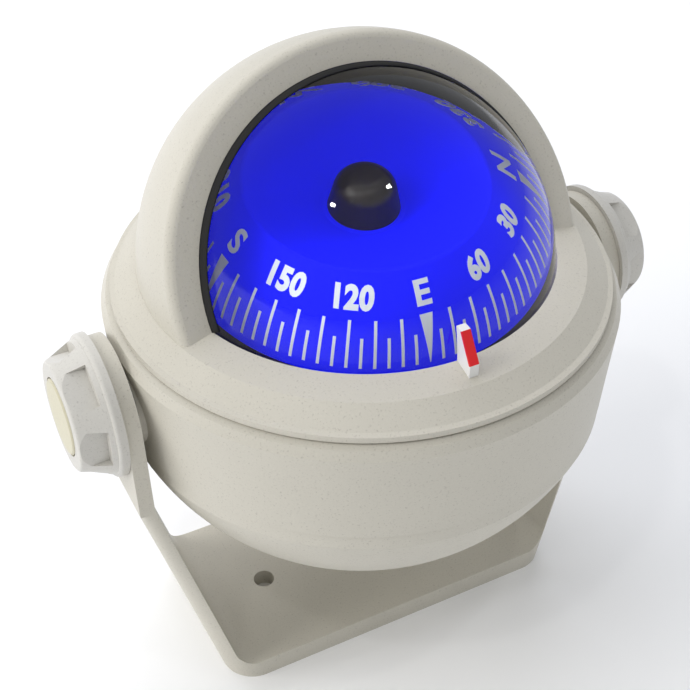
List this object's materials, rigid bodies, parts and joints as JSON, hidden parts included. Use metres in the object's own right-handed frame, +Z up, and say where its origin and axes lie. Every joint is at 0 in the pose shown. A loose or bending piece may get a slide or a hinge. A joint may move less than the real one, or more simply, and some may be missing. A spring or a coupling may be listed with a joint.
{
  "type": "bracket-mounted dome steering compass",
  "caption": "Liquid-filled dome compass with a domed card and rear hood, tilting on two clamp knobs between the arms of a screw-down bracket.",
  "frame": {"origin": "centre of the bracket's underside, which is the middle of the two base screws, on the surface it is screwed to", "axes": "+X along the tilt axis through the two knobs, -Y the side the lubber mark and the open side of the hood face, +Y the hooded side that looks forward, +Z up, away from the mounting surface"},
  "size_m": [0.125, 0.1006, 0.1282],
  "materials": {
    "bracket_plastic": "satin moulded plastic",
    "housing_plastic": "satin moulded plastic",
    "knob_plastic": "satin moulded plastic",
    "cap_plastic": "satin moulded plastic, slightly yellower",
    "seal_rubber": "matt black rubber",
    "washer_plastic": "low-friction plastic",
    "clear_acrylic": "polished clear acrylic",
    "fin_white": "white",
    "mark_red": "red paint",
    "capsule_black": "matt black plastic",
    "card_blue": "saturated blue with white marks",
    "hub_black": "dark",
    "float_foam": "closed-cell foam",
    "holder_plastic": "plain",
    "brass_parts": "turned brass",
    "steel_parts": "stainless steel",
    "magnet_metal": "dark sintered magnet",
    "jewel_stone": "polished hard stone"
  },
  "bodies": {
    "bracket": {"bracket": "bracket_plastic"},
    "housing": {"body_shell": "housing_plastic", "lower_bowl": "housing_plastic", "bezel_hood": "housing_plastic", "body_seal": "seal_rubber", "lubber_fin": "fin_white", "lubber_mark": "mark_red", "dome": "clear_acrylic", "dome_gasket": "seal_rubber", "capsule_bowl": "capsule_black", "diaphragm": "seal_rubber", "diaphragm_ring": "steel_parts", "filler_plug": "brass_parts", "filler_seal": "seal_rubber", "gimbal_pins": "steel_parts", "compensator_frame": "capsule_black", "bezel_screws": "steel_parts", "capsule_screws": "steel_parts", "diaphragm_screws": "steel_parts", "bowl_screws": "steel_parts", "frame_screws": "steel_parts", "left_friction_washer": "washer_plastic", "right_friction_washer": "washer_plastic", "left_threaded_insert": "brass_parts", "right_threaded_insert": "brass_parts"},
    "gimbal_ring": {"gimbal_ring": "brass_parts"},
    "card_carrier": {"gimbal_yoke": "capsule_black", "yoke_pins": "steel_parts", "pivot_needle": "steel_parts", "counterweight": "brass_parts"},
    "card": {"compass_card": "card_blue", "card_hub": "hub_black", "jewel": "jewel_stone", "card_float": "float_foam", "magnet_holder": "holder_plastic", "card_magnets": "magnet_metal"},
    "athwart_compensator": {"athwart_spindle": "brass_parts", "athwart_magnet": "magnet_metal"},
    "fore_aft_compensator": {"fore_aft_spindle": "brass_parts", "fore_aft_magnet": "magnet_metal"},
    "left_washer": {"left_knob_washer": "steel_parts"},
    "left_knob": {"left_knob": "knob_plastic", "left_knob_cap": "cap_plastic", "left_clamp_stud": "steel_parts"},
    "right_washer": {"right_knob_washer": "steel_parts"},
    "right_knob": {"right_knob": "knob_plastic", "right_knob_cap": "cap_plastic", "right_clamp_stud": "steel_parts"}
  },
  "joints": [
    {"name": "housing_tilt", "type": "hinge", "parent": "bracket", "child": "housing", "pos_m": [0, 0, 0.0708], "axis": [1, 0, 0], "continuous": true},
    {"name": "gimbal_pitch", "type": "hinge", "parent": "housing", "child": "gimbal_ring", "pos_m": [0, 0, 0.0793], "axis": [1, 0, 0], "range_deg": [-25, 25]},
    {"name": "gimbal_roll", "type": "hinge", "parent": "gimbal_ring", "child": "card_carrier", "pos_m": [0, 0, 0.0793], "axis": [0, 1, 0], "range_deg": [-25, 25]},
    {"name": "card_turn", "type": "hinge", "parent": "card_carrier", "child": "card", "pos_m": [0, 0, 0.0901], "axis": [0, -0.0872, 0.9962], "continuous": true},
    {"name": "athwart_compensator_turn", "type": "hinge", "parent": "housing", "child": "athwart_compensator", "pos_m": [0, 0, 0.0334], "axis": [1, 0, 0], "continuous": true},
    {"name": "fore_aft_compensator_turn", "type": "hinge", "parent": "housing", "child": "fore_aft_compensator", "pos_m": [0, 0, 0.0398], "axis": [0, 1, 0], "continuous": true},
    {"name": "left_knob_travel", "type": "slide", "parent": "housing", "child": "left_washer", "axis": [-1, 0, 0], "range_m": [0, 0.002]},
    {"name": "left_knob_turn", "type": "hinge", "parent": "left_washer", "child": "left_knob", "pos_m": [-0.058, 0, 0.0708], "axis": [-1, 0, 0], "range_deg": [0, 720]},
    {"name": "right_knob_travel", "type": "slide", "parent": "housing", "child": "right_washer", "axis": [1, 0, 0], "range_m": [0, 0.002]},
    {"name": "right_knob_turn", "type": "hinge", "parent": "right_washer", "child": "right_knob", "pos_m": [0.058, 0, 0.0708], "axis": [1, 0, 0], "range_deg": [0, 720]}
  ],
  "couplings": [
    {"joint": "left_knob_turn", "follows": "left_knob_travel", "rad_per_m": 6283},
    {"joint": "right_knob_turn", "follows": "right_knob_travel", "rad_per_m": 6283}
  ]
}
